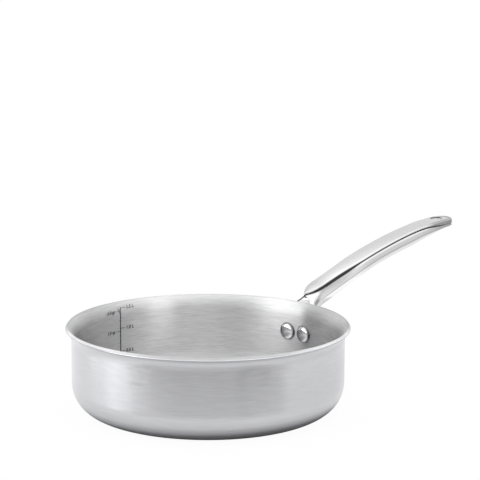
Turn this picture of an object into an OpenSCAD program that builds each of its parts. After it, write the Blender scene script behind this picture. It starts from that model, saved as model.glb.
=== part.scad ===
// Saute pan: three bonded plies, a cast stick handle and two mushroom rivets.
// The origin is the middle of the underside, the handle runs along +X, and +Z is up.

/* [Pan] */
// Inside diameter of the straight wall
pan_inner_d = 196; // [150:1:280]
// Height of the rim above the underside
pan_h = 65; // [62:0.5:90]
// Outside radius of the corner between the base and the wall
corner_r = 23; // [12:0.5:26]

/* [Plies] */
// Thickness of the stainless cooking surface
lining_t = 0.5; // [0.3:0.05:0.8]
// Thickness of the aluminium core
core_t = 1.5; // [1:0.05:2.5]
// Thickness of the stainless outer skin
skin_t = 0.5; // [0.3:0.05:0.8]

/* [Lip] */
// Bend radius of the flared lip, on its outer surface
lip_bend_r = 11.4; // [8:0.1:12]
// Angle through which the wall turns outwards at the lip
lip_angle = 52; // [35:1:60]

/* [Handle line] */
// Length of the handle from the pan's wall to its tip
handle_l = 188; // [160:0.5:230]
// Height of the top line above the rim, at its front edge
front_rise = 7.1; // [6:0.1:12]
// Height of the top line above the rim, at its tip
tip_rise = 43.7; // [36:0.1:56]
// Slope at which the top line leaves the front
front_slope = 17.9; // [14:0.1:22]
// Slope at which it reaches the tip
tip_slope = -0.5; // [-3:0.1:3]
// Extra fall of the top line at its pointed front
front_dip = 0.9; // [0:0.1:1.5]

/* [Handle section] */
// Width of the handle at its waist, next to the pan
waist_w = 12.9; // [11:0.1:16]
// Width of the grip
grip_w = 17; // [15:0.1:24]
// Width of the tip round the hanging hole
tip_w = 20; // [18:0.1:28]
// Length over which the top widens behind its pointed front
prow_l = 16; // [12:0.5:20]
// Depth of the handle next to the pan
waist_depth = 17.3; // [15:0.1:18.5]
// Depth of the handle at the grip
grip_depth = 12.8; // [10:0.1:14.5]
// Depth of the solid tip
tip_depth = 6.6; // [5.5:0.1:9]
// Height of the crown across the top of the grip
grip_crown = 0.5; // [0.1:0.05:1]
// Height of the crown across the top of the tip
tip_crown = 0.6; // [0.2:0.05:1.5]
// Height of the band along the edge of the grip's top
grip_band = 1; // [0.8:0.1:2]
// Height of the band along the edge of the tip
tip_band = 2.9; // [1.5:0.1:3.5]
// Height of the cove under the band at the grip
cove_h = 1.2; // [0.6:0.1:2]
// Height that the cove gains next to the waist
cove_gain = 1.7; // [0:0.1:2.5]
// Depth of the cove at the grip
cove_inset = 0.5; // [0.3:0.05:0.9]
// Thickness of the rails beside the hollow underside
rail_t = 2.6; // [2:0.1:3.5]
// Thickness of the top over the hollow underside
roof_t = 3.4; // [2.5:0.1:5]
// Bow across the underside
belly = 0.5; // [0.1:0.1:1]

/* [Foot] */
// Width of the foot that is riveted to the wall
foot_w = 36; // [34:0.5:46]
// Thickness of the foot
foot_t = 3.5; // [2.5:0.1:4.5]
// Distance from the rim down to the foot's lower edge
foot_drop = 38; // [33:0.5:41]
// Radius of the foot's lower corners
foot_corner_r = 11; // [5:0.5:13]
// Gap between the handle and the underside of the lip
lip_gap = 0.4; // [0.2:0.05:1]
// Gap between the handle and the wall above the foot
seat_gap = 0.05; // [0.03:0.01:0.2]
// Distance from the lip's edge to the front of the handle's top
front_setback = 2.1; // [1.5:0.1:6]
// Depth of the scoop under that front
scoop_depth = 3; // [2:0.1:4]

/* [Hanging hole] */
// Diameter of the hanging hole
hang_d = 10; // [6:0.1:12]
// Distance from the tip to the middle of the hanging hole
hang_inset = 14; // [12:0.1:20]

/* [Rivets] */
// Distance between the rivets, along the wall's inside
rivet_pitch = 16.2; // [15.5:0.1:20]
// Distance from the rim down to the rivets
rivet_drop = 23.5; // [22.5:0.1:26]
// Diameter of the head inside the pan
head_d = 13.4; // [10:0.1:14.5]
// Height of the head inside the pan
head_h = 2.6; // [1.5:0.1:4]
// Diameter of the shank
shank_d = 6.4; // [4:0.1:8]
// Diameter of the upset end outside
tail_d = 10.5; // [8.5:0.1:12]
// Height of the upset end outside
tail_h = 2.2; // [1.2:0.1:3]
// Height of the straight edge round the head and the upset end
cap_rim = 0.4; // [0.2:0.05:0.8]
// Clearance round the shank
shank_gap = 0.1; // [0.05:0.05:0.3]

/* [Hidden] */
$fn = 128;

steel = [0.78, 0.78, 0.79];
aluminium = [0.86, 0.87, 0.88];
cast_steel = [0.72, 0.72, 0.73];
polished = [0.85, 0.85, 0.86];

wall_t = lining_t + core_t + skin_t;
inner_r = pan_inner_d / 2;
outer_r = inner_r + wall_t;
floor_r = outer_r - corner_r;
rivet_z = pan_h - rivet_drop;
foot_low_z = pan_h - foot_drop;

// The lip bends round a ring outside the wall; its cut edge is square to the sheet.
bend_x = outer_r + lip_bend_r;
bend_z = pan_h - (lip_bend_r + wall_t) * sin(lip_angle);
lip_r = bend_x - lip_bend_r * cos(lip_angle);
overrun = 1;

// One ply, as a sheet of thickness t that lies this far inside the outer surface
module ply(inset, t) {
    rotate_extrude() sheet(inset, t);
}

module sheet(inset, t) {
    translate([0, inset]) square([floor_r, t]);
    translate([floor_r, corner_r]) intersection() {
        ring(corner_r - inset, corner_r - inset - t);
        translate([0, -corner_r]) square(corner_r);
    }
    translate([outer_r - inset - t, corner_r]) square([t, bend_z - corner_r]);
    translate([bend_x, bend_z]) intersection() {
        ring(lip_bend_r + inset + t, lip_bend_r + inset);
        lip_wedge(lip_bend_r + wall_t + overrun);
    }
}

module ring(big, small) {
    difference() {
        circle(r = big);
        circle(r = small);
    }
}

// The sector that the lip sweeps, from level on the pan's side up to its cut edge
module lip_wedge(reach) {
    polygon([[0, 0], [-reach, 0], [-reach, reach * tan(lip_angle)]]);
}

// Whatever the rivets pass through is drilled square to the wall.
rivet_turn = rivet_pitch / inner_r * 180 / PI / 2;

module at_rivet(side) {
    rotate([0, 0, side * rivet_turn]) translate([0, 0, rivet_z]) rotate([0, 90, 0]) children();
}

module rivet_bores() {
    for (side = [-1, 1]) at_rivet(side)
        translate([0, 0, inner_r - head_h]) cylinder(d = shank_d + 2 * shank_gap,
            h = head_h + wall_t + foot_t + tail_h);
}

module inner_lining() {
    color(steel) difference() {
        ply(skin_t + core_t, lining_t);
        rivet_bores();
    }
}

module aluminium_core() {
    color(aluminium) difference() {
        ply(skin_t, core_t);
        rivet_bores();
    }
}

module outer_skin() {
    color(steel) difference() {
        ply(0, skin_t);
        rivet_bores();
    }
}

// A domed cap whose flat side has this diameter, standing on z = 0
module dome(d, h) {
    ball_r = (d * d / 4 + h * h) / (2 * h);
    rotate_extrude() intersection() {
        translate([0, h - ball_r]) circle(r = ball_r);
        square([d / 2, h]);
    }
}

// The head is seated on the curved lining, and the tail on the curved foot.
module rivet(side) {
    foot_r = outer_r + foot_t;
    head_r = sqrt(inner_r * inner_r - head_d * head_d / 4) - cap_rim;
    intersection() {
        at_rivet(side) translate([0, 0, head_r]) {
            rotate([180, 0, 0]) dome(head_d, head_h - cap_rim);
            cylinder(d = head_d, h = inner_r - head_r + overrun);
        }
        cylinder(r = inner_r, h = pan_h);
    }
    at_rivet(side) translate([0, 0, head_r + cap_rim / 2])
        cylinder(d = shank_d, h = foot_r - head_r);
    difference() {
        at_rivet(side) {
            translate([0, 0, outer_r]) cylinder(d = tail_d, h = foot_t + cap_rim);
            translate([0, 0, foot_r + cap_rim]) dome(tail_d, tail_h - cap_rim);
        }
        cylinder(r = foot_r, h = pan_h);
    }
}

// The handle's top line leaves its front and reaches its tip at given heights and slopes.
front_x = lip_r + front_setback;
handle_reach = outer_r + handle_l;
front_z = pan_h + front_rise - front_dip;
tip_z = pan_h + tip_rise;
line_dx = handle_reach - front_x;
dip_l = 12;

function top_z(x) = let (t = along(x), bend = t * t * (3 - 2 * t))
    pan_h + mix(front_rise, tip_rise, bend)
    + line_dx * (t * (1 - t) * (1 - t) * tan(front_slope) - t * t * (1 - t) * tan(tip_slope))
    - front_dip * (1 - ease((x - front_x) / dip_l));
function mix(a, b, t) = a + (b - a) * t;
function ease(t) = let (u = min(1, max(0, t))) u * u * (3 - 2 * u);

// Where the section changes along the handle, as shares of the length beyond its front edge
slope_share = 0.085;
waist_share = 0.15;
cove_from_share = 0.2;
cove_fade_share = 0.36;
grip_share = 0.37;
depth_share = 0.45;
hollow_from_share = 0.14;
hollow_full_share = 0.24;
hollow_fade_share = 0.74;
hollow_to_share = 0.84;
thin_share = 0.83;
taper_share = 0.66;
taper_end_share = 0.97;
wide_share = 0.73;
wide_end_share = 0.86;
band_share = 0.77;
band_end_share = 0.92;

function along(x) = (x - front_x) / line_dx;
function between(x, a, b) = ease((along(x) - a) / (b - a));

edge_share = 0.6;

// The nose is an ellipse in plan, and its top edge is rounded over as the sides are.
nose_l = tip_w / 2;
nose_x = handle_reach - nose_l;
function nose(x) = x < nose_x ? 1 : sqrt(max(0, 1 - pow((x - nose_x) / nose_l, 2)));
function nose_drop(x) = let (from = handle_reach - edge_drop(x))
    x < from ? 0 : edge_drop(x) * (1 - sqrt(max(0, 1 - pow((x - from) / edge_drop(x), 2))));

// The top is pointed in front, in plan.
prow_share = 0.85;
function prow(x) = let (t = min(1, max(0, (x - front_x) / prow_l))) pow(t * (2 - t), prow_share);

function half_w(x) = prow(x) * nose(x) * mix(
    mix(waist_w, grip_w, between(x, waist_share, grip_share)), tip_w,
    between(x, wide_share, wide_end_share)) / 2;
function crown(x) = mix(grip_crown, tip_crown, between(x, band_share, band_end_share));
function band(x) = mix(grip_band, tip_band, between(x, band_share, band_end_share));
function edge_drop(x) = band(x) * edge_share;

// The root's underside slopes down to the foot just over the rivets' tails.
root_z = rivet_z + tail_d / 2 + tail_h;
slope_x = front_x + slope_share * line_dx;
function depth(x) = x < slope_x
    ? mix(top_z(outer_r + foot_t) - root_z, waist_depth,
        (x - outer_r - foot_t) / (slope_x - outer_r - foot_t))
    : mix(mix(waist_depth, grip_depth, between(x, slope_share, depth_share)), tip_depth,
        between(x, taper_share, taper_end_share));

// The body flares round the foot in a concave curve and is full width at the wall.
flare_l = 18;
foot_margin = 1;
function flare(x) = pow(min(1, max(0, 1 - (x - lip_r) / flare_l)), 2);
function body_w(x) = half_w(x) + (foot_w / 2 - foot_margin - half_w(x)) * flare(x);

function cove_tall(x) = cove_h + cove_gain * (1 - between(x, cove_from_share, cove_fade_share))
    * (1 - flare(x)) - cove_h / 2 * between(x, thin_share, 1);
function hollow(x) = (depth(x) - roof_t) * between(x, hollow_from_share, hollow_full_share)
    * (1 - between(x, hollow_fade_share, hollow_to_share));

// Places round the section, as shares of the widths and depths that they follow
crown_shares = [0, 0.35, 0.7];
crown_fall_share = 0.8;
cove_top_share = 0.15;
cove_shares = [0.4, 0.8];
ridge_share = 0.56;
flank_shares = [0.08, 0.35, 0.7, 1];
flank_power_share = 0.75;
rail_shares = [[0.12, 0.45], [0.3, 0.85]];
under_shares = [[0.5, 0.7, 0], [1, 0.4, 0], [1.2, 0.3, 0.85], [1.6, 0.2, 1]];

// Half of the section at x, from the middle of the top round to the middle of the underside,
// as places across and drops below the top line
function half_section(x) = let (
        w = half_w(x), c = crown(x), e = edge_drop(x), t = c + band(x), r = rail_t * nose(x),
        g = min(w / 2, e * nose(x)), u = t + cove_tall(x),
        k = w - min(w / 2, nose(x) * cove_inset * cove_tall(x) / cove_h),
        b = body_w(x), h = depth(x), f = hollow(x), v = mix(u, h, ridge_share))
    [
        for (s = crown_shares) [(w - g) * s, c * crown_fall_share * s * s],
        for (a = [0 : 45 : 90]) [w - g * (1 - sin(a)), mix(c * crown_fall_share, c + e, 1 - cos(a))],
        [mix(w, k, cove_top_share), t],
        for (s = cove_shares) [k, mix(t, u, s)],
        for (s = flank_shares) [mix(k, b, pow(s, flank_power_share)), mix(u, v, s)],
        for (s = rail_shares) [b - r * s[0], mix(v, h, s[1])],
        for (s = under_shares) [b - r * s[0], h - belly * s[1] - f * s[2]],
        [0, h - f]
    ];

half_n = len(half_section(handle_reach));
ring_n = 2 * half_n - 2;

// Place number j of the whole section at x, counted round from the middle of the top
function place(x, j) = let (
        near = j < half_n, p = half_section(x)[near ? j : ring_n - j],
        squash = (depth(x) - nose_drop(x)) / depth(x))
    [x, near ? p[0] : -p[0], top_z(x) - nose_drop(x) - p[1] * squash];

// How far from the pan's axis the handle's front lies at a height: it follows the wall and the
// underside of the lip, scoops back over the rim and comes forward under the top.
prow_gap = 0.35;
relief_z = bend_z - lip_gap;
edge_z = relief_z + lip_bend_r * sin(lip_angle);
scoop_top_z = front_z - grip_crown - grip_band;
function front_r(z) = seat_gap + (
    z < relief_z ? outer_r
    : z < edge_z ? bend_x - sqrt(lip_bend_r * lip_bend_r - (z - relief_z) * (z - relief_z))
    : z < scoop_top_z ? let (u = (z - edge_z) / (scoop_top_z - edge_z))
        mix(lip_r, front_x, u) + scoop_depth * sin(180 * u)
    : front_x + prow_gap);

// Where the line of places j meets that front, found by going to and fro between the two
function meet(j, x, tries) = let (p = place(x, j))
    tries == 0 ? x : meet(j, sqrt(pow(front_r(p[2]), 2) - p[1] * p[1]), tries - 1);

// Rings from the front to the nose; those of the root fan out from the front's curve.
root_steps = 9;
grip_steps = 18;
nose_steps = 6;
front_steps = 8;
meet_tries = 12;
nose_turn = 86;
root_end_x = front_x + hollow_from_share * line_dx;
starts = [for (j = [0 : ring_n - 1]) meet(j, front_x, meet_tries)];
function ring_at(x) = [for (j = [0 : ring_n - 1]) place(x, j)];
rings = [
    for (i = [0 : root_steps - 1])
        [for (j = [0 : ring_n - 1]) place(mix(starts[j], root_end_x, i / root_steps), j)],
    for (i = [0 : grip_steps - 1]) ring_at(mix(root_end_x, nose_x, i / grip_steps)),
    for (i = [0 : nose_steps]) ring_at(nose_x + nose_l * sin(nose_turn * i / nose_steps))
];

// The handle's beam: the rings, a fan over the nose and a curved grid over the front
module beam() {
    n = ring_n;
    mid = half_n - 1;
    last = (len(rings) - 1) * n;
    nose_at = last + n;
    nose_point = (rings[len(rings) - 1][0] + rings[len(rings) - 1][mid]) / 2;
    grid = [for (j = [1 : mid - 1], k = [1 : front_steps - 1]) let (
        p = rings[0][j], r = front_r(p[2]), y = mix(p[1], -p[1], k / front_steps))
        [sqrt(r * r - y * y), y, p[2]]];
    // Place k of the grid's row j, which starts and ends on the first ring
    function at(j, k) = k == 0 ? j
        : k == front_steps ? n - j
        : nose_at + 1 + (j - 1) * (front_steps - 1) + k - 1;
    sides = [for (i = [0 : len(rings) - 2], j = [0 : n - 1]) let (
        a = i * n + j, b = i * n + (j + 1) % n)
        each [[a, b, b + n], [a, b + n, a + n]]];
    fan = [for (j = [0 : n - 1]) [last + j, last + (j + 1) % n, nose_at]];
    ends = [for (k = [0 : front_steps - 1])
        each [[0, at(1, k + 1), at(1, k)], [mid, at(mid - 1, k), at(mid - 1, k + 1)]]];
    rows = [for (j = [1 : mid - 2], k = [0 : front_steps - 1])
        each [[at(j, k), at(j, k + 1), at(j + 1, k)], [at(j, k + 1), at(j + 1, k + 1), at(j + 1, k)]]];
    polyhedron([for (ring = rings) each ring, nose_point, each grid],
        concat(sides, fan, ends, rows), convexity = 10);
}

// The foot is a plate with rounded corners, and its faces bend round the wall.
module foot() {
    foot_h = root_z + foot_t - foot_low_z;
    half = foot_w / 2 - foot_corner_r;
    difference() {
        intersection() {
            cylinder(r = outer_r + foot_t, h = pan_h);
            translate([floor_r, 0, foot_low_z]) rotate([90, 0, 90]) linear_extrude(corner_r + foot_t) {
                translate([-foot_w / 2, foot_corner_r]) square([foot_w, foot_h - foot_corner_r]);
                translate([-half, 0]) square([2 * half, foot_h]);
                for (side = [-1, 1]) translate([side * half, foot_corner_r]) circle(r = foot_corner_r);
            }
        }
        cylinder(r = outer_r, h = pan_h);
    }
}

module handle() {
    color(cast_steel) difference() {
        union() {
            beam();
            foot();
        }
        rivet_bores();
        translate([handle_reach - hang_inset, 0, front_z]) cylinder(d = hang_d, h = tip_z);
    }
}

module rivet_left() {
    color(polished) rivet(1);
}

module rivet_right() {
    color(polished) rivet(-1);
}

inner_lining();
aluminium_core();
outer_skin();
handle();
rivet_left();
rivet_right();
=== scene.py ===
import math
import bpy
import bmesh
from mathutils import Matrix, Vector


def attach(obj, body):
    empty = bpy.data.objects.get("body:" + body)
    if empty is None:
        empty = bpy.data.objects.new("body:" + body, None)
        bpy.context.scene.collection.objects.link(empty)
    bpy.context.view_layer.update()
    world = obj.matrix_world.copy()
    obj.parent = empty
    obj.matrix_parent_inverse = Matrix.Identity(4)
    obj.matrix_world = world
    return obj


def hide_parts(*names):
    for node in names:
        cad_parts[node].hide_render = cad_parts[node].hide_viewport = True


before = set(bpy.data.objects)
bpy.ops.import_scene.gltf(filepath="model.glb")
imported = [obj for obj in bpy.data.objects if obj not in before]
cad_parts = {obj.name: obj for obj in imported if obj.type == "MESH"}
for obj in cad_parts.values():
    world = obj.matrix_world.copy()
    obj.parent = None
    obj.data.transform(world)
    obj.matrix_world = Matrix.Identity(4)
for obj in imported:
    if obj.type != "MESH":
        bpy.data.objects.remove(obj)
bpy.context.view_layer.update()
mm = 0.001
print("stage: frame loaded")


class Wire:  # an output socket that adds Math nodes when it is used in a sum
    def __init__(self, net, socket):
        self.net, self.socket = net, socket

    def math(self, operation, *values):
        return self.net.node("Math", {"operation": operation}, dict(enumerate(values)))

    def __add__(self, other): return self.math("ADD", self, other)
    def __radd__(self, other): return self.math("ADD", other, self)
    def __sub__(self, other): return self.math("SUBTRACT", self, other)
    def __rsub__(self, other): return self.math("SUBTRACT", other, self)
    def __mul__(self, other): return self.math("MULTIPLY", self, other)
    def __rmul__(self, other): return self.math("MULTIPLY", other, self)
    def __truediv__(self, other): return self.math("DIVIDE", self, other)
    def __pow__(self, other): return self.math("POWER", self, other)


class Net:  # a node tree, with one method that adds any node
    def __init__(self, tree):
        self.tree = tree

    def node(self, kind, settings=None, inputs=None, output=0):
        shared = kind in ("Math", "VectorMath") or self.tree.type == "SHADER"
        prefix = "ShaderNode" if shared else "GeometryNode"
        if kind.startswith(("Function", "Shader", "Geometry")):
            prefix = ""
        made = self.tree.nodes.new(prefix + kind)
        for name, value in (settings or {}).items():
            if name == "stops":
                ramp = made.color_ramp
                ramp.interpolation = "EASE"
                while len(ramp.elements) < len(value):
                    ramp.elements.new(0.5)
                for element, (place, tone) in zip(ramp.elements, value):
                    element.position = place
                    element.color = (tone, tone, tone, 1) if isinstance(tone, (int, float)) else (*tone, 1)
            else:
                setattr(made, name, value)
        for name, value in (inputs or {}).items():
            socket = made.inputs[name]
            if isinstance(value, Wire):
                self.tree.links.new(value.socket, socket)
            else:
                socket.default_value = value
        return Wire(self, made.outputs[output]) if len(made.outputs) else None


def newMaterial(name):
    material = bpy.data.materials.new(name)
    material.use_nodes = True
    material.node_tree.nodes.clear()
    return material, Net(material.node_tree)


def metalSurface(net, colour, tone, inputs):  # ends a material: toned metal with these further inputs
    base = net.node("CombineColor", inputs={i: tone * c for i, c in enumerate(colour)})
    shader = net.node("BsdfPrincipled", inputs={"Base Color": base, "Metallic": 1.0, **inputs})
    net.node("OutputMaterial", inputs={"Surface": shader})


def newTree(name, sockets):  # a Geometry Nodes tree and the wires of its named inputs
    tree = bpy.data.node_groups.new(name, "GeometryNodeTree")
    for label, kind in sockets.items():
        tree.interface.new_socket(label, in_out="INPUT", socket_type="NodeSocket" + kind)
    tree.interface.new_socket("Geometry", in_out="OUTPUT", socket_type="NodeSocketGeometry")
    net = Net(tree)
    given = tree.nodes.new("NodeGroupInput")
    return net, [Wire(net, given.outputs[label]) for label in sockets]


def closeTree(net, geometry, finish):  # real geometry with its material, out of the tree
    real = net.node("RealizeInstances", inputs={"Geometry": geometry})
    made = net.node("SetMaterial", inputs={"Geometry": real, "Material": finish})
    out = net.tree.nodes.new("NodeGroupOutput")
    net.tree.links.new(made.socket, out.inputs[0])
    return net.tree


def meshFrom(name, work):  # a plain mesh, its faces outwards
    bmesh.ops.recalc_face_normals(work, faces=work.faces)
    mesh = bpy.data.meshes.new(name)
    work.to_mesh(mesh)
    work.free()
    return mesh


def linkPiece(name, mesh):
    piece = bpy.data.objects.new(name, mesh)
    bpy.context.scene.collection.objects.link(piece)
    return piece


def finishPiece(piece, slotName, *nodes):
    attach(piece, "root")
    if nodes:
        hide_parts(*nodes)


# finishes, all procedural on the piece's own Object coordinates
brushing = {
    "layers": (  # pitch, streak, detail, gain of tone, gain of roughness
        (0.5 * mm, 9.0, 3.0, 0.34, 0.06),
        (1.15 * mm, 7.0, 3.0, 0.26, 0.05),
        (2.8 * mm, 3.5, 2.0, 0.08, 0.02),
    ),
    "lipEdge": (64.1 * mm, 64.9 * mm), "cutEdge": (62.5 * mm, 62.9 * mm),  # where their tone sets in
    # painted light on the rim edge: a painted highlight at the sides, painted shade in front and behind
    "front": (-0.723, -0.691),  # towards the camera, in the pan's axes
    "sideEnds": (0.0, 0.3), "frontEnds": (0.62, 0.95),  # shares of the way to the front
    "backTone": 0.78, "sideTone": 1.42, "frontTone": 0.72,
}


def smoothStep(net, value, low, high, start=0.0, end=1.0):
    return net.node("MapRange", {"interpolation_type": "SMOOTHSTEP"}, {
        "Value": value, "From Min": low, "From Max": high, "To Min": start, "To Max": end})


# brushed round the pan's axis, its rim edge painted brighter at the sides and darker in front and behind: a
# painted highlight and painted shade by the rim's bearing from the camera
def brushedSteel(name, colour, roughness, anisotropic, seed, gain, relief, edge="lipEdge"):
    material, net = newMaterial(name)
    place = net.node("TexCoord", output="Object")
    x, y, z = (net.node("SeparateXYZ", inputs={"Vector": place}, output=axis) for axis in "XYZ")
    radius = (x * x + y * y + 1e-9) ** 0.5
    along = radius + z  # runs from the middle of the floor out and up to the rim
    turnX, turnY = x / radius, y / radius
    rough, tone, height = roughness, 1.0, 0.0
    for pitch, streak, detail, toneGain, roughGain in brushing["layers"]:
        vector = net.node("CombineXYZ", inputs={
            "X": turnX * streak, "Y": turnY * streak, "Z": along / pitch + seed})
        noise = net.node("TexNoise", inputs={
            "Vector": vector, "Scale": 1.0, "Detail": detail, "Roughness": 0.6})
        lines = noise - 0.5
        rough = rough + lines * roughGain
        tone = tone + lines * (toneGain * gain)
        height = lines * (pitch / mm) + height
    # painted highlight and painted shade on the rim edge, by its bearing from the camera
    front = turnX * brushing["front"][0] + turnY * brushing["front"][1]
    paintedRimLight = smoothStep(net, front, *brushing["sideEnds"], brushing["backTone"], brushing["sideTone"])
    paintedFrontShade = brushing["sideTone"] - brushing["frontTone"]
    paintedRimLight = paintedRimLight - smoothStep(net, front, *brushing["frontEnds"], 0.0, paintedFrontShade)
    tone = tone * (1.0 + smoothStep(net, z, *brushing[edge]) * (paintedRimLight - 1.0))
    bump = net.node("Bump", inputs={"Strength": 1.0, "Distance": relief * mm, "Height": height})
    metalSurface(net, colour, tone, {
        "Roughness": rough, "Normal": bump, "Anisotropic": anisotropic, "Anisotropic Rotation": 0.25})
    return material


casting = {
    "streaks": (60.0, 2200.0, 2200.0), "cloud": 260.0, "grainRough": 0.10, "cloudRough": 0.06,
    "shadeRough": 0.25, "grainTone": 0.08, "cloudTone": 0.06, "bump": 0.05,
    "bumpDepth": 0.1 * mm, "cloudBump": 2.0,
}


# the tone attribute carries the handle's painted light and shade, and painted shade darkens the hanging hole's
# far side here
def castSteel(name, colour, roughness, hole):
    material, net = newMaterial(name)
    place = net.node("TexCoord", output="Object")
    streaks = net.node("Mapping", inputs={"Vector": place, "Scale": casting["streaks"]})
    grain = net.node("TexNoise", inputs={"Vector": streaks, "Scale": 1.0, "Detail": 3.0, "Roughness": 0.6})
    cloud = net.node("TexNoise", inputs={
        "Vector": place, "Scale": casting["cloud"], "Detail": 3.0, "Roughness": 0.6})
    shade = net.node("Attribute", {"attribute_name": "tone", "attribute_type": "GEOMETRY"}, output="Fac")
    x, y, z = (net.node("SeparateXYZ", inputs={"Vector": place}, output=axis) for axis in "XYZ")
    # painted shade on the hanging hole's far side, darker at its upper edge
    aside = ((x - hole["centre"]) * (x - hole["centre"]) + y * y) ** 0.5 - hole["radius"]
    onWall, arc = 1.0 - smoothStep(net, aside, *hole["wall"]), smoothStep(net, y, *hole["side"])
    for value, ends in ((aside, hole["edge"]), (hole["top"] - z, hole["deep"])):
        arc = arc * (1.0 - smoothStep(net, value, *ends))
    rough = roughness + (grain - 0.5) * casting["grainRough"] + (cloud - 0.5) * casting["cloudRough"]
    rough = rough + (1.0 - shade) * casting["shadeRough"] + onWall * hole["rougher"]
    mottle = 1.0 + (grain - 0.5) * casting["grainTone"] + (cloud - 0.5) * casting["cloudTone"]
    tone = shade * mottle * (1.0 - arc * hole["shade"])
    height = grain + cloud * casting["cloudBump"]
    bump = net.node("Bump", inputs={
        "Strength": casting["bump"], "Distance": casting["bumpDepth"], "Height": height})
    metalSurface(net, colour, tone, {"Roughness": rough, "Normal": bump})
    return material


etched = {
    "worn": 1500.0, "wornTone": (0.7, 0.6), "glareRise": (54 * mm, 58 * mm), "glareGain": 5.0,
    "rough": (0.45, 0.2),
}


# the marks worn at random, with a painted glare that makes them paler towards the lip
def etchedSteel(name, colour):  # worn, and fainter towards the lip
    material, net = newMaterial(name)
    place = net.node("TexCoord", output="Object")
    worn = net.node("TexNoise", inputs={
        "Vector": place, "Scale": etched["worn"], "Detail": 3.0, "Roughness": 0.6})
    z = net.node("SeparateXYZ", inputs={"Vector": place}, output="Z")
    plain, wornGain = etched["wornTone"]
    # painted glare: the marks paler towards the lip
    tone = (plain + worn * wornGain) * (1.0 + smoothStep(net, z, *etched["glareRise"]) * etched["glareGain"])
    metalSurface(net, colour, tone, {"Roughness": etched["rough"][0] + worn * etched["rough"][1]})
    return material


polished = {
    "scuffs": 700.0, "scuffRough": 0.08, "scuffTone": 0.05, "bump": 0.03, "bumpDepth": 0.1 * mm,
}


# painted shade: each cap's tone attribute darkens its ring where it meets the wall
def polishedSteel(name, colour, roughness):  # its tone attribute darkens the ring where it meets the wall
    material, net = newMaterial(name)
    place = net.node("TexCoord", output="Object")
    scuffs = net.node("TexNoise", inputs={
        "Vector": place, "Scale": polished["scuffs"], "Detail": 4.0, "Roughness": 0.6})
    rough = roughness + (scuffs - 0.5) * polished["scuffRough"]
    shade = net.node("Attribute", {"attribute_name": "tone", "attribute_type": "GEOMETRY"}, output="Fac")
    tone = shade * (1.0 + (scuffs - 0.5) * polished["scuffTone"])
    bump = net.node("Bump", inputs={
        "Strength": polished["bump"], "Distance": polished["bumpDepth"], "Height": scuffs})
    metalSurface(net, colour, tone, {"Roughness": rough, "Normal": bump})
    return material


liningSteel = brushedSteel("liningSteel", (0.68, 0.68, 0.685), 0.385, 1.0, 3.0, 1.5, 0.0025)
skinSteel = brushedSteel("skinSteel", (0.655, 0.657, 0.68), 0.21, 0.8, 11.0, 0.5, 0.0006)
coreAluminium = brushedSteel("coreAluminium", (0.6, 0.6, 0.61), 0.4, 0.4, 23.0, 1.0, 0.003, "cutEdge")
# painted shade at the upper edge of the hanging hole's far side
holeTones = {  # the far side of the hanging hole is dark at its upper edge
    "centre": 274.5 * mm, "radius": 5 * mm, "top": 108.65 * mm,
    "wall": (0.03 * mm, 0.08 * mm), "side": (-3.0 * mm, 1.5 * mm),
    "edge": (0.7 * mm, 1.3 * mm), "deep": (0.9 * mm, 1.5 * mm), "shade": 0.86, "rougher": 0.3,
}
handleSteel = castSteel("handleSteel", (0.73, 0.73, 0.735), 0.24, holeTones)
rivetSteel = polishedSteel("rivetSteel", (0.84, 0.84, 0.85), 0.04)
etching = etchedSteel("etching", (0.035, 0.035, 0.04))


# pan body: three plies, revolved by Geometry Nodes
pan = {
    "innerRadius": 98 * mm, "height": 65 * mm, "cornerRadius": 23 * mm,
    "lipBend": 11.4 * mm, "lipAngle": math.radians(52),
    "lining": 0.5 * mm, "core": 1.5 * mm, "skin": 0.5 * mm,
    "edgeRound": 0.18 * mm, "edgeSteps": 3, "bendSteps": 20, "turns": 360, "weld": 0.0005 * mm,
}
wall = pan["lining"] + pan["core"] + pan["skin"]
outerRadius = pan["innerRadius"] + wall
floorRadius = outerRadius - pan["cornerRadius"]
bendX = outerRadius + pan["lipBend"]
bendZ = pan["height"] - (pan["lipBend"] + wall) * math.sin(pan["lipAngle"])
lipRadius = bendX - pan["lipBend"] * math.cos(pan["lipAngle"])


def sheetLine(inset, back=False):  # a line of the sheet this far inside its outer face, floor to lip
    points = [(0.0, inset)]
    steps = pan["bendSteps"]
    for i in range(steps + 1):
        turn = math.pi / 2 * i / steps
        reach = pan["cornerRadius"] - inset
        points.append((floorRadius + reach * math.sin(turn), pan["cornerRadius"] - reach * math.cos(turn)))
    for i in range(steps + 1):
        turn = pan["lipAngle"] * i / steps
        reach = pan["lipBend"] + inset
        points.append((bendX - reach * math.cos(turn), bendZ + reach * math.sin(turn)))
    return points[::-1] if back else points


# closed outline of one ply, with its lip edges rounded
def plyProfile(inset, thickness, roundOuter, roundInner):
    outer, inner = sheetLine(inset), sheetLine(inset + thickness, back=True)
    radial = Vector((math.sin(pan["lipAngle"]), math.cos(pan["lipAngle"])))  # along the sheet, out of the lip
    normal = Vector((-math.cos(pan["lipAngle"]), math.sin(pan["lipAngle"])))  # from the outer face to the inner
    corner = []
    tip, back = Vector(outer[-1]), Vector(inner[0])
    for point, side, rounded in ((tip, -1, roundOuter), (back, 1, roundInner)):
        if not rounded:
            corner.append([tuple(point)])
            continue
        middle = point - radial * pan["edgeRound"] - normal * side * pan["edgeRound"]
        arc = []
        for i in range(pan["edgeSteps"] + 1):
            turn = math.pi / 2 * i / pan["edgeSteps"]
            if side > 0:
                turn = math.pi / 2 - turn
            way = normal * side * math.cos(turn) + radial * math.sin(turn)
            arc.append(tuple(middle + way * pan["edgeRound"]))
        corner.append(arc)
    return outer[:-1] + corner[0] + corner[1] + inner[1:]


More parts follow.
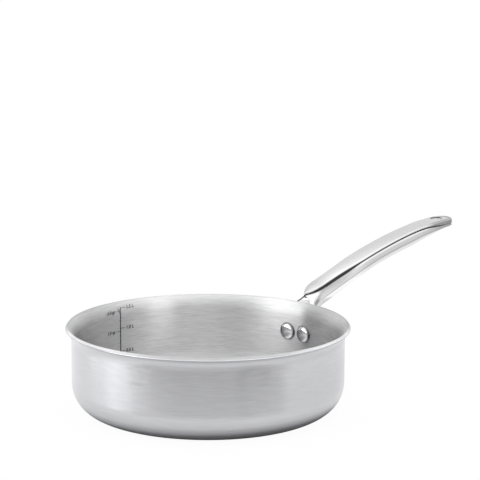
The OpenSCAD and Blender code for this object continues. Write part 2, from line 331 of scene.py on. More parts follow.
def revolveTree():  # turns a line of points about Z, closes its seam and poles
    net, (line, turns, weld, finish) = newTree(
        "revolve", {"Geometry": "Geometry", "Turns": "Int", "Weld": "Float", "Finish": "Material"})
    count = net.node("AttributeDomainSize", {"component": "MESH"}, {"Geometry": line}, "Point Count")
    columns = turns + 1
    grid = net.node("MeshGrid", inputs={
        "Vertices X": count, "Vertices Y": columns, "Size X": 1.0, "Size Y": 1.0})
    index = net.node("InputIndex")
    row = net.node("Math", {"operation": "FLOOR"}, {0: (index + 0.5) / columns})
    column = index - row * columns
    place = net.node("InputPosition")
    point = net.node("SampleIndex", {"data_type": "FLOAT_VECTOR", "domain": "POINT"},
                     {"Geometry": line, "Value": place, "Index": row})
    turned = net.node("ShaderNodeVectorRotate", {"rotation_type": "Z_AXIS"},
                      {"Vector": point, "Angle": column / turns * (2 * math.pi)})
    moved = net.node("SetPosition", inputs={"Geometry": grid, "Position": turned})
    welded = net.node("MergeByDistance", inputs={"Geometry": moved, "Distance": weld})
    return closeTree(net, welded, finish)


def grown(name, source, tree, values):  # the plain mesh that a tree makes from a source mesh
    holder = linkPiece(name + "Source", source)
    modifier = holder.modifiers.new("nodes", "NODES")
    modifier.node_group = tree
    for item in tree.interface.items_tree:
        if item.in_out == "INPUT" and item.name in values:
            modifier[item.identifier] = values[item.name]
    graph = bpy.context.evaluated_depsgraph_get()
    mesh = bpy.data.meshes.new_from_object(holder.evaluated_get(graph))
    bpy.data.objects.remove(holder)
    mesh.name = name
    return mesh


def outwards(mesh, sharp=35):  # normals recalculated, smooth with sharp edges kept
    work = bmesh.new()
    work.from_mesh(mesh)
    bmesh.ops.recalc_face_normals(work, faces=work.faces)
    work.to_mesh(mesh)
    work.free()
    mesh.shade_smooth()
    mesh.set_sharp_from_angle(angle=math.radians(sharp))
    return mesh


def lineMesh(name, points):  # loose vertices in order, for the revolve tree
    mesh = bpy.data.meshes.new(name)
    mesh.from_pydata([(x, 0.0, z) for x, z in points], [(i, i + 1) for i in range(len(points) - 1)], [])
    return mesh


revolve = revolveTree()
plies = (
    ("innerLining", "inner_lining", "cooking_surface", liningSteel,
     pan["skin"] + pan["core"], pan["lining"], False, True),
    ("aluminiumCore", "aluminium_core", "core_aluminium", coreAluminium,
     pan["skin"], pan["core"], False, False),
    ("outerSkin", "outer_skin", "outer_steel", skinSteel, 0.0, pan["skin"], True, False),
)
for name, node, slotName, finish, inset, thickness, roundOuter, roundInner in plies:
    outline = plyProfile(inset, thickness, roundOuter, roundInner)
    mesh = grown(name, lineMesh(name + "Line", outline), revolve,
                 {"Turns": pan["turns"], "Weld": pan["weld"], "Finish": finish})
    finishPiece(linkPiece(name, outwards(mesh)), slotName, node)
print("stage: pan body")


# handle: one casting, from the same line and section as the CAD solid
handle = {
    "reach": 288.5, "frontSetback": 2.1, "frontRise": 7.1, "tipRise": 43.7, "frontSlope": 17.9,
    "tipSlope": -0.5, "frontDip": 0.9, "dipLength": 12.0,
    "prowLength": 16.0, "prowPower": 0.85, "prowGap": 0.35,
    "waist": 12.9, "grip": 17.0, "tip": 20.0, "waistDepth": 17.3, "gripDepth": 12.8, "tipDepth": 6.6,
    "gripCrown": 0.5, "tipCrown": 0.6, "gripBand": 1.0, "tipBand": 2.9,
    "cove": 1.2, "coveGain": 1.7, "coveInset": 0.5, "rail": 2.6, "roof": 3.4, "belly": 0.5,
    "footWidth": 36.0, "footThickness": 3.5, "footLow": 27.0, "footCorner": 11.0, "footMargin": 1.0,
    "footEdge": 0.9, "footEase": 0.27, "footReach": (20, 14), "footInset": (0.045, 0.064), "footArc": 12,
    "lipGap": 0.4, "seatGap": 0.05, "scoop": 3.0, "rootLow": 48.95, "flare": 18.0,
    "holeRadius": 5.0, "holeInset": 14.0, "holeChamfer": 0.5, "drillSpread": 4.0,
    # shares of the band, of the flank, and then of the way from the front to the tip
    "edgeShare": 0.6, "ridgeShare": 0.56, "slopeShare": 0.085, "depthShare": 0.45,
    "waistShare": 0.15, "gripShare": 0.37, "wideShare": 0.73, "wideEndShare": 0.86,
    "coveFromShare": 0.2, "coveFadeShare": 0.36, "taperShare": 0.66, "taperEndShare": 0.97,
    "bandShare": 0.77, "bandEndShare": 0.92, "flankPower": 0.75, "thinShare": 0.83,
    "hollowFrom": 0.14, "hollowFull": 0.24, "hollowFade": 0.74, "hollowTo": 0.84,
    # painted light and shade: painted shade in the cove, along the ridge and down the front's edge, then
    # painted highlights and shade on the flank, tip, nose and root, and a painted highlight on the hanging
    # hole's wall
    "coveShade": 0.93, "coveEase": (0.15, 0.3), "coveEnd": 0.35, "coveSpread": 0.55, "spreadIn": 10.0,
    "spreadTo": 150.0, "spreadFade": 22.0, "besideFrom": 1.4, "besideFade": 0.5,
    "ridgeShade": 0.5, "ridgeWide": 0.7, "hornLine": 2.1, "hornShades": (0.85, 0.25),
    "hornReach": 1.0, "hornFade": 0.6, "flankFade": 0.4,
    "flankTones": ((0.0, 1.34), (0.22, 1.34), (0.34, 0.96), (0.75, 0.9), (0.95, 0.9), (1.12, 1.08),
                   (1.8, 1.16)),
    "tipFrom": (264.5, 247.0), "tipFade": (10.0, 14.0), "tipShade": 0.5, "tipAcross": 5.6,
    "tipBeside": 2.5, "tipPast": 4.0, "tipDown": 0.5, "tipCove": 0.35, "tipCoveFrom": 30.0, "tipCoveFade": 20.0,
    "endLength": 3.2, "endShade": 0.2, "noseDark": 0.5, "noseFade": 12.0,
    "prowShade": 0.3, "prowFade": 34.0, "prowDown": 0.3,
    "rootGlow": 0.3, "rootFrom": 150.0, "rootFade": 30.0, "wallTone": 1.34, "wallReach": 0.1,
    "rootSteps": 12, "gripSteps": 26, "noseSteps": 7, "frontSteps": 10, "smooth": 2, "middle": 150.0,
}


def mix(a, b, t):
    return a + (b - a) * t


def ease(t):
    t = min(1.0, max(0.0, t))
    return t * t * (3 - 2 * t)


class HandleForm:  # every size of the handle at a distance x from the pan's axis, in millimetres
    def __init__(self, h):
        self.h = h
        self.outer, self.lip, self.rim = outerRadius / mm, lipRadius / mm, pan["height"] / mm
        self.bendX, self.bendZ, self.bend = bendX / mm, bendZ / mm, pan["lipBend"] / mm
        self.front = self.lip + h["frontSetback"]
        self.reach, self.span = h["reach"], h["reach"] - self.front
        self.noseLength = h["tip"] / 2
        self.noseStart = h["reach"] - self.noseLength
        self.frontZ = self.rim + h["frontRise"] - h["frontDip"]
        self.relief = self.bendZ - h["lipGap"]
        self.lipEdge = self.relief + self.bend * math.sin(pan["lipAngle"])
        self.scoopTop = self.frontZ - h["gripCrown"] - h["gripBand"]

    def between(self, x, a, b):
        return ease(((x - self.front) / self.span - self.h[a]) / (self.h[b] - self.h[a]))

    def topZ(self, x):  # from the front's height and slope to the tip's, less a dip at the front
        h, t = self.h, (x - self.front) / self.span
        bend = 3 * t * t - 2 * t * t * t
        first = (t - 2 * t * t + t ** 3) * self.span * math.tan(math.radians(h["frontSlope"]))
        last = (t ** 3 - t * t) * self.span * math.tan(math.radians(h["tipSlope"]))
        dip = h["frontDip"] * (1 - ease((x - self.front) / h["dipLength"]))
        return self.rim + mix(h["frontRise"], h["tipRise"], bend) + first + last - dip

    def noseWide(self, x):
        if x < self.noseStart:
            return 1.0
        return math.sqrt(max(0.0, 1 - ((x - self.noseStart) / self.noseLength) ** 2))

    def prow(self, x):  # how wide the top is behind its pointed front
        back = 1 - min(1.0, max(0.0, (x - self.front) / self.h["prowLength"]))
        return (1 - back * back) ** self.h["prowPower"]

    def halfWidth(self, x):
        h = self.h
        wide = mix(h["waist"], h["grip"], self.between(x, "waistShare", "gripShare"))
        wide = mix(wide, h["tip"], self.between(x, "wideShare", "wideEndShare"))
        return self.prow(x) * self.noseWide(x) * wide / 2

    def crown(self, x):
        return mix(self.h["gripCrown"], self.h["tipCrown"], self.between(x, "bandShare", "bandEndShare"))

    def band(self, x):
        return mix(self.h["gripBand"], self.h["tipBand"], self.between(x, "bandShare", "bandEndShare"))

    def edge(self, x):
        return self.band(x) * self.h["edgeShare"]

    def noseDrop(self, x):
        start = self.h["reach"] - self.edge(x)
        if x < start:
            return 0.0
        return self.edge(x) * (1 - math.sqrt(max(0.0, 1 - ((x - start) / self.edge(x)) ** 2)))

    def depth(self, x):
        h = self.h
        footFace, slope = self.outer + h["footThickness"], self.front + h["slopeShare"] * self.span
        if x < slope:
            rootDepth = self.topZ(footFace) - h["rootLow"]
            return mix(rootDepth, h["waistDepth"], (x - footFace) / (slope - footFace))
        deep = mix(h["waistDepth"], h["gripDepth"], self.between(x, "slopeShare", "depthShare"))
        return mix(deep, h["tipDepth"], self.between(x, "taperShare", "taperEndShare"))

    def flare(self, x):
        left = 1 - (x - self.lip) / self.h["flare"]
        return min(1.0, max(0.0, left)) ** 2

    def bodyHalf(self, x):
        return mix(self.halfWidth(x), self.h["footWidth"] / 2 - self.h["footMargin"], self.flare(x))

    def coveTall(self, x):
        h = self.h
        gain = h["coveGain"] * (1 - self.between(x, "coveFromShare", "coveFadeShare")) * (1 - self.flare(x))
        late = ease(((x - self.front) / self.span - h["thinShare"]) / (1 - h["thinShare"]))
        return h["cove"] + gain - h["cove"] / 2 * late

    def hollow(self, x):
        return ((self.depth(x) - self.h["roof"]) * self.between(x, "hollowFrom", "hollowFull")
                * (1 - self.between(x, "hollowFade", "hollowTo")))

    def section(self, x):  # half of it, across and down from the top line, and how sharp each line is
        h, nose = self.h, self.noseWide(x)
        w, c, e = self.halfWidth(x), self.crown(x), self.edge(x)
        t = c + self.band(x)
        u = t + self.coveTall(x)
        k = w - min(w / 2, nose * h["coveInset"] * self.coveTall(x) / h["cove"])
        b, d, f, r = self.bodyHalf(x), self.depth(x), self.hollow(x), h["rail"] * nose
        g = min(w / 2, e * nose)
        rows = [((w - g) * s, c * 0.8 * s * s, 0) for s in (0, 0.35, 0.7)]
        rows += [(w - g * (1 - math.sin(a)), mix(c * 0.8, c + e, 1 - math.cos(a)), 0)
                 for a in (0, math.pi / 4, math.pi / 2)]
        rows += [(mix(w, k, 0.12), t, 0.9), (k, mix(t, u, 0.25), 0.4), (k, mix(t, u, 0.8), 0.4)]
        ridge = mix(u, d, h["ridgeShare"])
        flank = ((0.08, 0.3), (0.35, 0), (0.7, 0), (1, 0.5))
        rows += [(mix(k, b, v ** h["flankPower"]), mix(u, ridge, v), q) for v, q in flank]
        rows += [(b - r * 0.12, mix(ridge, d, 0.45), 0), (b - r * 0.3, mix(ridge, d, 0.85), 0.2)]
        rails = ((0.5, 0.7, 0, 0.3), (1, 0.4, 0, 0.5), (1.2, 0.3, 0.85, 0.2), (1.6, 0.2, 1, 0.2))
        rows += [(b - r * v, d - h["belly"] * low - f * q, p)
                 for v, low, q, p in rails]
        return rows + [(0.0, d - f, 0)]

    def place(self, x, j):
        across, down, _ = self.section(x)[j]
        squash = (self.depth(x) - self.noseDrop(x)) / self.depth(x)
        return Vector((x, across, self.topZ(x) - self.noseDrop(x) - down * squash))

    def frontX(self, y, z):  # the front's distance at a place across and a height
        h, gap = self.h, self.h["seatGap"]
        if z < self.relief:
            near = self.outer + gap
        elif z < self.lipEdge:
            near = self.bendX - math.sqrt(self.bend ** 2 - (z - self.relief) ** 2) + gap
        elif z < self.scoopTop:
            u = (z - self.lipEdge) / (self.scoopTop - self.lipEdge)
            near = mix(self.lip, self.front, u) + h["scoop"] * math.sin(math.pi * u) + gap
        else:
            near = self.front + h["prowGap"]
        edge = self.edge(self.front)
        v = min(1.0, max(0.0, 1 - (self.frontZ - z) / (h["gripCrown"] + edge)))
        near += edge * (1 - math.sqrt(1 - v * v))
        straight = ease((z - self.lipEdge) / (self.scoopTop - self.lipEdge))
        return mix(math.sqrt(near * near - y * y), near, straight)

    def meet(self, j):  # where line j starts, on the front
        x = self.front
        for _ in range(20):
            p = self.place(x, j)
            x = mix(x, self.frontX(p.y, p.z), 0.7)
        return x


def handleCage(form):
    h, half = form.h, len(form.section(form.h["middle"]))
    count = 2 * half - 2
    rowOf = [j if j < half else count - j for j in range(count)]
    sign = [1 if j < half else -1 for j in range(count)]

    def ring(xs):
        out = []
        for j in range(count):
            p = form.place(xs[rowOf[j]], rowOf[j])
            out.append(Vector((p.x, p.y * sign[j], p.z)))
        return out

    starts = [form.meet(j) for j in range(half)]
    rootEnd = form.front + h["hollowFrom"] * form.span
    rings = [ring([mix(s, rootEnd, i / h["rootSteps"]) for s in starts]) for i in range(h["rootSteps"])]
    rings += [ring([mix(rootEnd, form.noseStart, i / h["gripSteps"])] * half) for i in range(h["gripSteps"])]
    rings += [ring([form.noseStart + form.noseLength * math.sin(math.radians(86) * i / h["noseSteps"])] * half)
              for i in range(h["noseSteps"] + 1)]
    work = bmesh.new()
    crease = work.edges.layers.float.new("crease_edge")
    loops = [[work.verts.new(p * mm) for p in r] for r in rings]
    for a, b in zip(loops, loops[1:]):
        for j in range(count):
            work.faces.new((a[j], a[(j + 1) % count], b[(j + 1) % count], b[j]))
    last = loops[-1]
    for j in range(half - 1):  # the nose's end, a strip across it
        if j == 0:
            work.faces.new((last[0], last[1], last[count - 1]))
        elif j == half - 2:
            work.faces.new((last[j], last[j + 1], last[count - j]))
        else:
            work.faces.new((last[j], last[j + 1], last[count - j - 1], last[count - j]))
    grid = [[loops[0][0]]]
    for j in range(1, half - 1):
        p = rings[0][j]
        line = [loops[0][j]]
        for k in range(1, h["frontSteps"]):
            y = p.y * math.cos(math.pi * k / h["frontSteps"])
            line.append(work.verts.new(Vector((form.frontX(y, p.z), y, p.z)) * mm))
        grid.append(line + [loops[0][count - j]])
    grid.append([loops[0][half - 1]])
    for a, b in zip(grid, grid[1:]):
        for k in range(h["frontSteps"]):
            if len(a) == 1:
                work.faces.new((a[0], b[k + 1], b[k]))
            elif len(b) == 1:
                work.faces.new((a[k], a[k + 1], b[0]))
            else:
                work.faces.new((a[k], a[k + 1], b[k + 1], b[k]))
    sharp = [row[2] for row in form.section(form.h["middle"])]
    for a, b in zip(loops, loops[1:]):
        for j in range(count):
            work.edges.get((a[j], b[j]))[crease] = sharp[rowOf[j]]
    return meshFrom("handleCage", work)


def solidOf(name, profile, turns=96):  # a closed solid of revolution about Z
    work = bmesh.new()
    circle = [(math.cos(2 * math.pi * i / turns), math.sin(2 * math.pi * i / turns)) for i in range(turns)]
    rings = [[work.verts.new((r * c, r * s, z)) for c, s in circle] if r > 0 else [work.verts.new((0, 0, z))]
             for r, z in profile]
    for a, b in zip(rings, rings[1:]):
        for i in range(turns):
            n = (i + 1) % turns
            corners = [a[i % len(a)], a[n % len(a)], b[n % len(b)], b[i % len(b)]]
            work.faces.new(list(dict.fromkeys(corners)))
    return meshFrom(name, work)


def footMesh(h):  # the riveted plate, bent round the wall, its outline rounded and its edges eased
    half, low, corner = h["footWidth"] / 2, h["footLow"], h["footCorner"]
    thick, edge, eased, steps = h["footThickness"], h["footEdge"], h["footEase"], h["footArc"]
    high, inner = h["rootLow"] + h["footThickness"], outerRadius / mm
    outline = [(-half, high)]
    for side in (-1, 1):
        arc = [(side * (half - corner + corner * math.cos(a)), low + corner - corner * math.sin(a))
               for a in [math.pi / 2 * i / steps for i in range(steps + 1)]]
        outline += arc if side < 0 else arc[::-1]
    outline.append((half, high))
    centre = (0.0, (low + high) / 2)
    work = bmesh.new()

    def bent(y, z, r):
        turn = y / inner
        return work.verts.new(Vector((r * math.cos(turn), r * math.sin(turn), z)) * mm)

    reachY, reachZ = h["footReach"]
    insets = [(0.0, 0.0), (0.0, thick - edge), (eased, thick - eased), (edge, thick)]
    loops = [[bent(mix(y, centre[0], min(1, d / reachY)), mix(z, centre[1], min(1, d / reachZ)), inner + lift)
              for y, z in outline] for d, lift in insets]
    n = len(outline)
    for a, b in zip(loops, loops[1:]):
        for i in range(n):
            work.faces.new((a[i], a[(i + 1) % n], b[(i + 1) % n], b[i]))
    for loop, lift, (insetY, insetZ) in ((loops[0], 0.0, (0, 0)), (loops[-1], thick, h["footInset"])):
        rows = [loop]
        base = [(mix(y, centre[0], insetY), mix(z, centre[1], insetZ)) for y, z in outline]
        for share in (0.25, 0.5, 0.75):
            rows.append([bent(mix(y, centre[0], share), mix(z, centre[1], share), inner + lift)
                         for y, z in base])
        middle = bent(*centre, inner + lift)
        for a, b in zip(rows, rows[1:]):
            for i in range(n):
                work.faces.new((a[i], a[(i + 1) % n], b[(i + 1) % n], b[i]))
        for i in range(n):
            work.faces.new((rows[-1][i], rows[-1][(i + 1) % n], middle))
    return meshFrom("foot", work)


def applied(piece):  # gives the piece its mesh with its modifiers in it
    graph = bpy.context.evaluated_depsgraph_get()
    mesh = bpy.data.meshes.new_from_object(piece.evaluated_get(graph))
    piece.modifiers.clear()
    piece.data = mesh


def cutWith(piece, tool, operation):
    modifier = piece.modifiers.new(operation, "BOOLEAN")
    modifier.operation, modifier.solver, modifier.object = operation, "EXACT", tool
    applied(piece)
    bpy.data.objects.remove(tool)


def stepped(stops, x):  # the value of a line of stops at x
    for (a, p), (b, q) in zip(stops, stops[1:]):
        if x < b:
            return mix(p, q, ease((x - a) / (b - a)))
    return stops[-1][1]


# painted shade in the cove and down the front's edge, with painted highlights and shade on the flank, tip, nose
# and root, toned as the photograph shows
def paintTones(mesh, form):
    h = form.h
    starts = [form.place(form.meet(j), j) for j in range(6, len(form.section(form.h["middle"])) - 1)]
    layer = mesh.attributes.new("tone", "FLOAT", "POINT")
    for vertex, item in zip(mesh.vertices, layer.data):
        x, y, z = (c / mm for c in vertex.co)
        tone = 1.0
        if form.front < x < form.reach and z > form.rim:
            fall = form.topZ(x) - form.noseDrop(x) - z
            t = form.crown(x) + form.band(x)
            u = t + form.coveTall(x)
            half = form.halfWidth(x)
            beside = ease((abs(y) - half + h["besideFrom"] + form.band(x)) / h["besideFade"])
            past = x - form.front - h["noseFade"]
            dark = mix(t, u, mix(h["noseDark"], 1.0, ease((x - form.front) / h["noseFade"])))
            wider = ease(past / h["spreadIn"]) * (1 - ease((x - h["spreadTo"]) / h["spreadFade"]))
            dark += h["coveSpread"] * wider
            upper = ease((fall - t + h["coveEase"][0]) / h["coveEase"][1])
            inCove = upper * (1 - ease((fall - dark) / h["coveEnd"])) * beside
            ridge = u + (form.depth(x) - u) * h["ridgeShare"]
            onRidge = max(0.0, 1 - abs(fall - ridge) / h["ridgeWide"]) * beside
            onFlank = ease((fall - u) / h["flankFade"]) * ease((x - form.front) / h["prowLength"])
            inCove *= 1 - h["tipCove"] * ease((x - form.reach + h["tipCoveFrom"]) / h["tipCoveFade"])
            # painted shade in the cove and along the ridge
            tone = (1 - h["coveShade"] * inCove) * (1 - h["ridgeShade"] * onRidge)
            # painted highlight and shade down the flank, lighter near the root
            glow = 1 + h["rootGlow"] * (1 - ease((x - h["rootFrom"]) / h["rootFade"]))
            tone *= mix(1.0, stepped(h["flankTones"], (fall - u) / (ridge - u)) * glow, onFlank)
            # painted shade over the tip's top band and its end
            near = 1 if y < 0 else 0
            onBand = 1 - ease((fall - t) / h["tipDown"])
            atTip = ease((x - h["tipFrom"][near]) / h["tipFade"][near]) * onBand
            outside = max(ease((abs(y) - h["tipAcross"]) / h["tipBeside"]),
                          ease((x - holeX - h["holeRadius"]) / h["tipPast"]))
            tone *= 1 - h["tipShade"] * atTip * outside
            tone *= 1 - h["endShade"] * ease((x - form.reach + h["endLength"]) / h["endLength"])
            # painted highlight on the hanging hole's wall
            if math.hypot(x - holeX, y) - h["holeRadius"] < h["wallReach"]:
                tone = h["wallTone"]
            # painted shade on the top just behind the front
            onProw = (1 - ease((x - form.front) / h["prowFade"])) * (1 - ease((fall - t) / h["prowDown"]))
            tone *= 1 - h["prowShade"] * onProw
        # painted shade down the front's edge
        for a, b in zip(starts, starts[1:]):  # the front's edge between two lines of the section
            if x < form.frontX(y, z) + h["hornReach"] and b.z <= z <= a.z and form.lipEdge < z:
                side = mix(b.y, a.y, (z - b.z) / max(0.01, a.z - b.z)) - abs(y)
                shade = h["hornShades"][0 if y > 0 else 1]
                tone = min(tone, 1 - shade * ease((h["hornLine"] - side) / h["hornFade"]))
        item.value = tone


form = HandleForm(handle)
holeX = handle["reach"] - handle["holeInset"]
cast = linkPiece("castHandle", handleCage(form))
smooth = cast.modifiers.new("smooth", "SUBSURF")
smooth.levels = smooth.render_levels = handle["smooth"]
applied(cast)
cutWith(cast, linkPiece("foot", footMesh(handle)), "UNION")
top, deep, chamfer = form.topZ(holeX), form.depth(holeX), handle["holeChamfer"]
tilt = math.atan2(form.topZ(holeX - 1) - form.topZ(holeX + 1), 2)
radius, spread = handle["holeRadius"], handle["drillSpread"]
wide = radius + spread + chamfer
drill = linkPiece("drill", solidOf("drill", [
    (0, -spread - deep), (wide, -spread - deep), (radius, chamfer - deep),
    (radius, -chamfer), (wide, spread), (0, spread)]))
tilted = Matrix.Translation(Vector((holeX, 0, top)) * mm) @ Matrix.Rotation(tilt, 4, "Y")
drill.data.transform(tilted @ Matrix.Scale(mm, 4))
cutWith(cast, drill, "DIFFERENCE")
outwards(cast.data, 32)
paintTones(cast.data, form)
cast.data.materials.clear()
cast.data.materials.append(handleSteel)
finishPiece(cast, "cast_steel", "handle")
print("stage: handle", len(cast.data.polygons))


# rivets: a pair of caps inside the pan and a pair on the foot
rivets = {
    "turn": 8.1 * mm / pan["innerRadius"], "height": 41.5 * mm,
    "headRadius": 6.7, "headHeight": 2.6, "tailRadius": 5.25, "tailHeight": 2.2,
    "undercut": 0.12, "rim": 0.35, "power": 2.3, "steps": 14, "turns": 96, "bury": 0.6,
    "ringFrom": 0.78, "ringTo": 0.98, "ringShade": 0.8,
}


def capLine(radius, height, seat, side):  # outline of a cap, from the pole to the middle of its seat
    steps, rim = rivets["steps"], rivets["rim"]
    line = []
    for i in range(steps + 1):
        r = radius * math.sin(math.pi / 2 * i / steps)
        rise = rim + (height - rim) * (1 - (r / radius) ** rivets["power"]) ** 0.5
        line.append((r, seat + side * rise))
    line += [(radius, seat + side * rim * 0.5), (radius - rivets["undercut"], seat + side * rim * 0.1)]
    line += [(radius - rivets["undercut"], seat - side * rivets["bury"]), (0.0, seat - side * rivets["bury"])]
    return [(r * mm, z * mm) for r, z in line]


def rivetTree():  # sets both caps of a rivet at two bearings on the wall
    net, (caps, bearing, height, finish) = newTree(
        "rivetPair", {"Geometry": "Geometry", "Bearing": "Float", "Height": "Float", "Finish": "Material"})
    pair = net.node("MeshLine", inputs={"Count": 2, "Offset": (0, 0, 0)})
    side = net.node("InputIndex") * 2.0 - 1.0
    raised = net.node("SetPosition", inputs={
        "Geometry": pair, "Position": net.node("ShaderNodeCombineXYZ", inputs={"Z": height})})
    turned = net.node("ShaderNodeCombineXYZ", inputs={"Y": math.pi / 2, "Z": side * bearing})
    placed = net.node("InstanceOnPoints", inputs={"Points": raised, "Instance": caps, "Rotation": turned})
    return closeTree(net, placed, finish)


def rivetCaps(name, line, seat, side):  # a pair of caps, seated on the wall or on the foot
    cap = grown(name + "Cap", lineMesh(name + "Line", line), revolve,
                {"Turns": rivets["turns"], "Weld": pan["weld"], "Finish": rivetSteel})
    mesh = grown(name, cap, rivetTree(), {
        "Bearing": rivets["turn"], "Height": rivets["height"], "Finish": rivetSteel})
    tones = mesh.attributes.new("tone", "FLOAT", "POINT")
    for vertex, item in zip(mesh.vertices, tones.data):
        reach, turn = math.hypot(vertex.co.x, vertex.co.y), math.atan2(vertex.co.y, vertex.co.x)
        out = math.hypot((abs(turn) - rivets["turn"]) * reach, vertex.co.z - rivets["height"]) / line[-2][0]
        # painted shade on the ring where the cap meets the wall
        inRing = ease((out - rivets["ringFrom"]) / (rivets["ringTo"] - rivets["ringFrom"]))
        item.value = 1 - rivets["ringShade"] * inRing
        if side * (reach - seat * mm) < 0:
            vertex.co.x, vertex.co.y = (c * seat * mm / reach for c in (vertex.co.x, vertex.co.y))
    return mesh


wallSeat, footSeat = pan["innerRadius"] / mm, outerRadius / mm + handle["footThickness"]
headLine = capLine(rivets["headRadius"], rivets["headHeight"], wallSeat, -1)
tailLine = capLine(rivets["tailRadius"], rivets["tailHeight"], footSeat, 1)
heads = rivetCaps("rivetHeads", headLine, wallSeat, -1)
tails = rivetCaps("rivetTails", tailLine, footSeat, 1)
finishPiece(linkPiece("rivetHeads", outwards(heads, 50)), "rivet_steel", "rivet_left", "rivet_right")
finishPiece(linkPiece("rivetTails", outwards(tails, 50)), "rivet_steel")
print("stage: rivets", len(heads.polygons), len(tails.polygons))


# etched scale inside the wall
scale = {
    "bearing": math.radians(87.3), "proud": 0.03, "bury": 0.02, "line": 0.9, "top": 61.3, "bottom": 25.6,
    "tick": 0.36, "major": 4.6, "minor": 1.2, "gap": 1.0,
    "glyph": 2.7, "glyphGain": 1.36, "glyphSteps": 4, "bolder": 0.11, "extrude": 0.5,
    "right": ((60.9, "1.5 L"), (44.7, "1.0 L"), (26.5, "0.5 L")), "rightMinor": (53.3, 34.5),
    "left": ((58.5, "1.5 qt"), (42.5, "1.0 qt")), "leftMinor": (51.0, 33.0),
}


def wallPoint(across, up, lift):  # a place on the inner wall, across to the right of the scale's line
    reach = (wallSeat - lift) * mm
    turn = scale["bearing"] - across / wallSeat
    return Vector((reach * math.cos(turn), reach * math.sin(turn), up * mm))


def bar(work, x0, x1, z0, z1, steps=4):
    grid = [[[work.verts.new(wallPoint(mix(x0, x1, i / steps), z, lift)) for z in (z0, z1)]
             for lift in (-scale["bury"], scale["proud"])] for i in range(steps + 1)]
    for a, b in zip(grid, grid[1:]):
        for p, q in (((0, 0), (0, 1)), ((0, 1), (1, 1)), ((1, 1), (1, 0)), ((1, 0), (0, 0))):
            work.faces.new((a[p[0]][p[1]], a[q[0]][q[1]], b[q[0]][q[1]], b[p[0]][p[1]]))
    for end in (grid[0], grid[-1]):
        work.faces.new((end[0][0], end[0][1], end[1][1], end[1][0]))


def label(words, x, z, align):  # flat letters made a mesh, then bent onto the wall
    curve = bpy.data.curves.new("label", "FONT")
    curve.body, curve.size = words, scale["glyph"] * scale["glyphGain"]
    curve.align_x, curve.align_y = align, "CENTER"
    curve.extrude, curve.resolution_u, curve.offset = scale["extrude"], scale["glyphSteps"], scale["bolder"]
    holder = linkPiece("label", curve)
    mesh = bpy.data.meshes.new_from_object(holder.evaluated_get(bpy.context.evaluated_depsgraph_get()))
    bpy.data.objects.remove(holder)
    for vertex in mesh.vertices:
        lift = scale["proud"] if vertex.co.z > 0 else -scale["bury"]
        vertex.co = wallPoint(x + vertex.co.x, z + vertex.co.y, lift)
    return mesh


def scaleMesh():
    work = bmesh.new()
    bar(work, -scale["line"] / 2, scale["line"] / 2, scale["bottom"], scale["top"])
    half = scale["tick"] / 2
    for side, name, align in ((1, "right", "LEFT"), (-1, "left", "RIGHT")):
        majors, minors = scale[name], scale[name + "Minor"]
        for z, words in majors:
            bar(work, side * scale["line"] / 2, side * scale["major"], z - half, z + half)
            work.from_mesh(label(words, side * (scale["major"] + scale["gap"]), z, align))
        for z in minors:
            bar(work, side * scale["line"] / 2, side * scale["minor"], z - half, z + half)
    bmesh.ops.remove_doubles(work, verts=work.verts, dist=pan["weld"])
    mesh = meshFrom("etchedScale", work)
    mesh.materials.append(etching)
    return mesh


finishPiece(linkPiece("etchedScale", outwards(scaleMesh(), 30)), "cooking_surface")
print("stage: scale")


